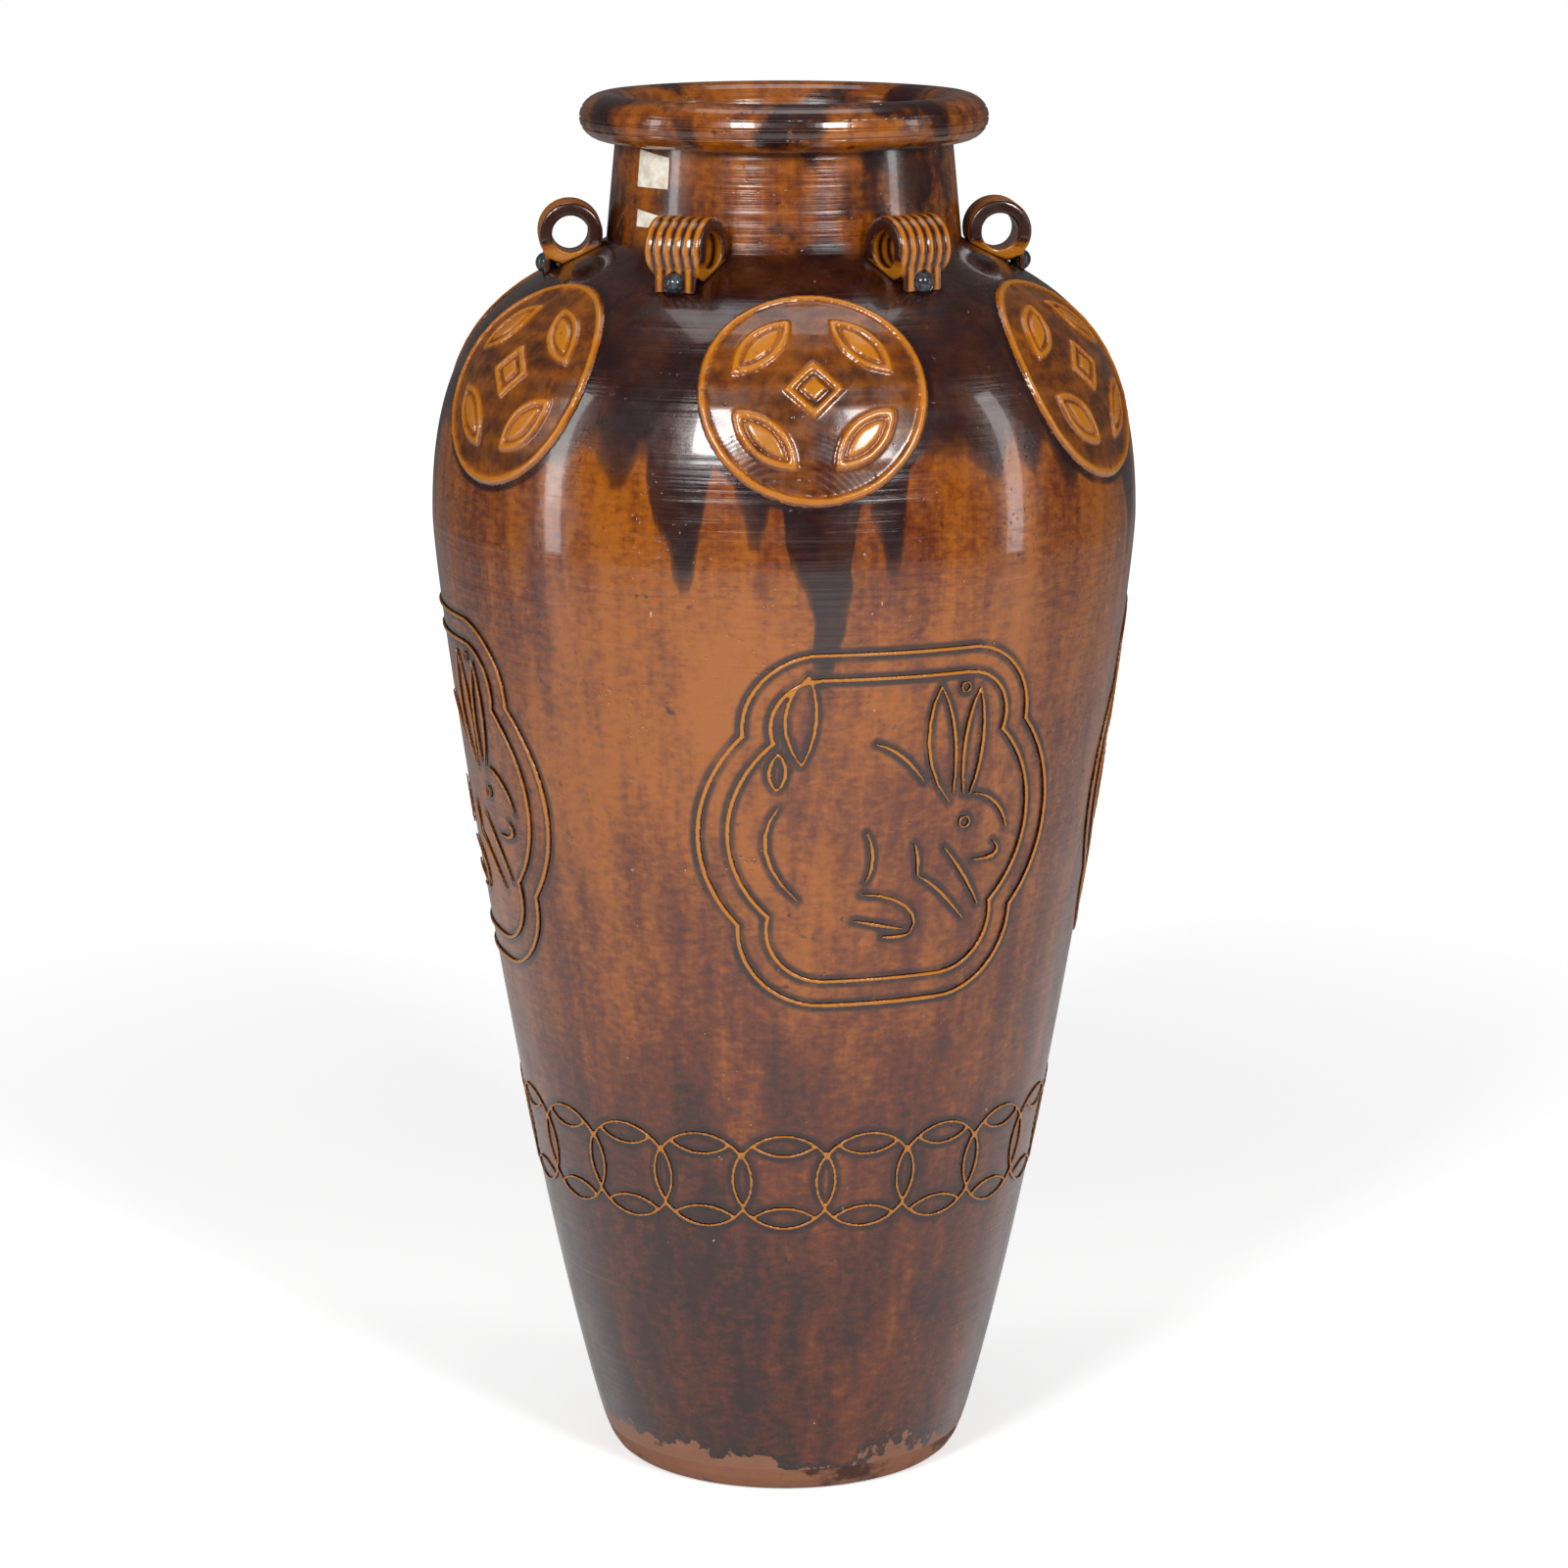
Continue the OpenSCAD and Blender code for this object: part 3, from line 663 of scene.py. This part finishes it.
def make_label(name, turn_0, turn_1, low, high):
    mesh = bpy.data.meshes.new(name)
    sheet = bmesh.new()
    bmesh.ops.create_grid(sheet, x_segments=24, y_segments=8, size=0.5)
    for vert in sheet.verts:
        turn = math.radians(turn_0 + (vert.co.x + 0.5) * (turn_1 - turn_0))
        tear = PAPER_TEAR * (vert.co.x + 0.5) * (vert.co.y + 0.5)
        z = low + (vert.co.y + 0.5) * (high - low) - tear
        radius = neck_radius(z) + PAPER_GAP
        vert.co = Vector((radius * math.sin(turn), -radius * math.cos(turn), z))
    bmesh.ops.recalc_face_normals(sheet, faces=sheet.faces)
    bmesh.ops.solidify(sheet, geom=sheet.faces[:], thickness=PAPER_THICK)
    bmesh.ops.recalc_face_normals(sheet, faces=sheet.faces)
    sheet.to_mesh(mesh)
    sheet.free()
    label = bpy.data.objects.new(name, mesh)
    bpy.context.scene.collection.objects.link(label)
    return label


def make_paper():
    material, tree, shader = new_material("old_paper")
    place = object_place(tree)
    stain = ease(tree, noise(tree, place, 120.0, 5.0, 0.6), 0.35, 0.7)
    colour = blend_colour(tree, stain, PAPER_CREAM, PAPER_STAIN)
    tree.links.new(colour, shader.inputs["Base Color"])
    rough = ease(tree, noise(tree, place, 300.0), 0.3, 0.7, 0.65, 0.85)
    tree.links.new(rough, shader.inputs["Roughness"])
    return material


paper = make_paper()
for label_row in LABELS:
    label = make_label(*label_row)
    label.data.materials.append(paper)
    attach(label, "root")
print("labels", len(LABELS))

# %% [markdown]
# The floor is a plain pale sheet. Its glow shows to the camera alone, so the extra light never reaches the
# glaze, and it grows with the distance from the jar, until the floor is as white as the background.

# %% Floor
FLOOR_HALF = 6.0
FLOOR_NEAR = 0.5
FLOOR_FAR = 2.6
GLOW_NEAR = 0.45
GLOW_FAR = 0.97
FLOOR_GREY = (0.9, 0.9, 0.9, 1)


def make_floor():
    mesh = bpy.data.meshes.new("floor")
    sheet = bmesh.new()
    bmesh.ops.create_grid(sheet, x_segments=2, y_segments=2, size=FLOOR_HALF)
    sheet.to_mesh(mesh)
    sheet.free()
    floor = bpy.data.objects.new("floor", mesh)
    bpy.context.scene.collection.objects.link(floor)
    material, tree, shader = new_material("pale_floor")
    shader.inputs["Base Color"].default_value = FLOOR_GREY
    shader.inputs["Roughness"].default_value = 0.8
    rays = tree.nodes.new("ShaderNodeLightPath")
    shader.inputs["Emission Color"].default_value = (1, 1, 1, 1)
    far = tree.nodes.new("ShaderNodeVectorMath")
    far.operation = "LENGTH"
    tree.links.new(object_place(tree), far.inputs[0])
    glow = ease(tree, far.outputs["Value"], FLOOR_NEAR, FLOOR_FAR, GLOW_NEAR, GLOW_FAR)
    glow = math_node(tree, "MULTIPLY", rays.outputs["Is Camera Ray"], glow)
    tree.links.new(glow, shader.inputs["Emission Strength"])
    mesh.materials.append(material)
    return floor


print("floor", make_floor().name)

# %% [markdown]
# Two soft boxes in front make the two soft spots on the shoulder. A strip on each side draws the long
# reflections down the body, and a weak wide one hangs over the jar.

# %% Lights
def soft_box(name, place, aim, width, height, watts):
    data = bpy.data.lights.new(name, "AREA")
    data.shape = "RECTANGLE"
    data.size = width
    data.size_y = height
    data.energy = watts
    lamp = bpy.data.objects.new(name, data)
    lamp.location = place
    lamp.rotation_euler = (Vector(aim) - Vector(place)).to_track_quat("-Z", "Y").to_euler()
    bpy.context.scene.collection.objects.link(lamp)


# A lamp's name, its place, what it looks at, its width and height, and its power
LAMPS = [("box_left", (-0.95, -2.2, 1.75), (0, 0, 0.55), 0.55, 0.7, 42),
         ("box_right", (1.15, -2.1, 1.75), (0, 0, 0.55), 0.55, 0.7, 40),
         ("strip_left", (-2.0, -0.5, 1.0), (0, 0, 0.45), 0.25, 1.6, 9),
         ("strip_right", (2.0, -0.5, 1.0), (0, 0, 0.45), 0.25, 1.6, 7),
         ("top", (0, 0.3, 2.8), (0, 0, 0.4), 1.6, 1.2, 12)]
for lamp_row in LAMPS:
    soft_box(*lamp_row)
print("lights", len(bpy.data.lights))

# %% [markdown]
# The world is white to the camera alone. The jar gets a dim share of it, which fills the shadows.

# %% World
SKY_LIGHT = 0.10
SKY_SHOWN = 1.0
world = bpy.data.worlds.new("studio")
bpy.context.scene.world = world
world.use_nodes = True
sky = world.node_tree
background = sky.nodes["Background"]
rays = sky.nodes.new("ShaderNodeLightPath")
background.inputs["Color"].default_value = (1, 1, 1, 1)
strength = ease(sky, rays.outputs["Is Camera Ray"], 0.0, 1.0, SKY_LIGHT, SKY_SHOWN)
sky.links.new(strength, background.inputs["Strength"])
print("world", world.name)
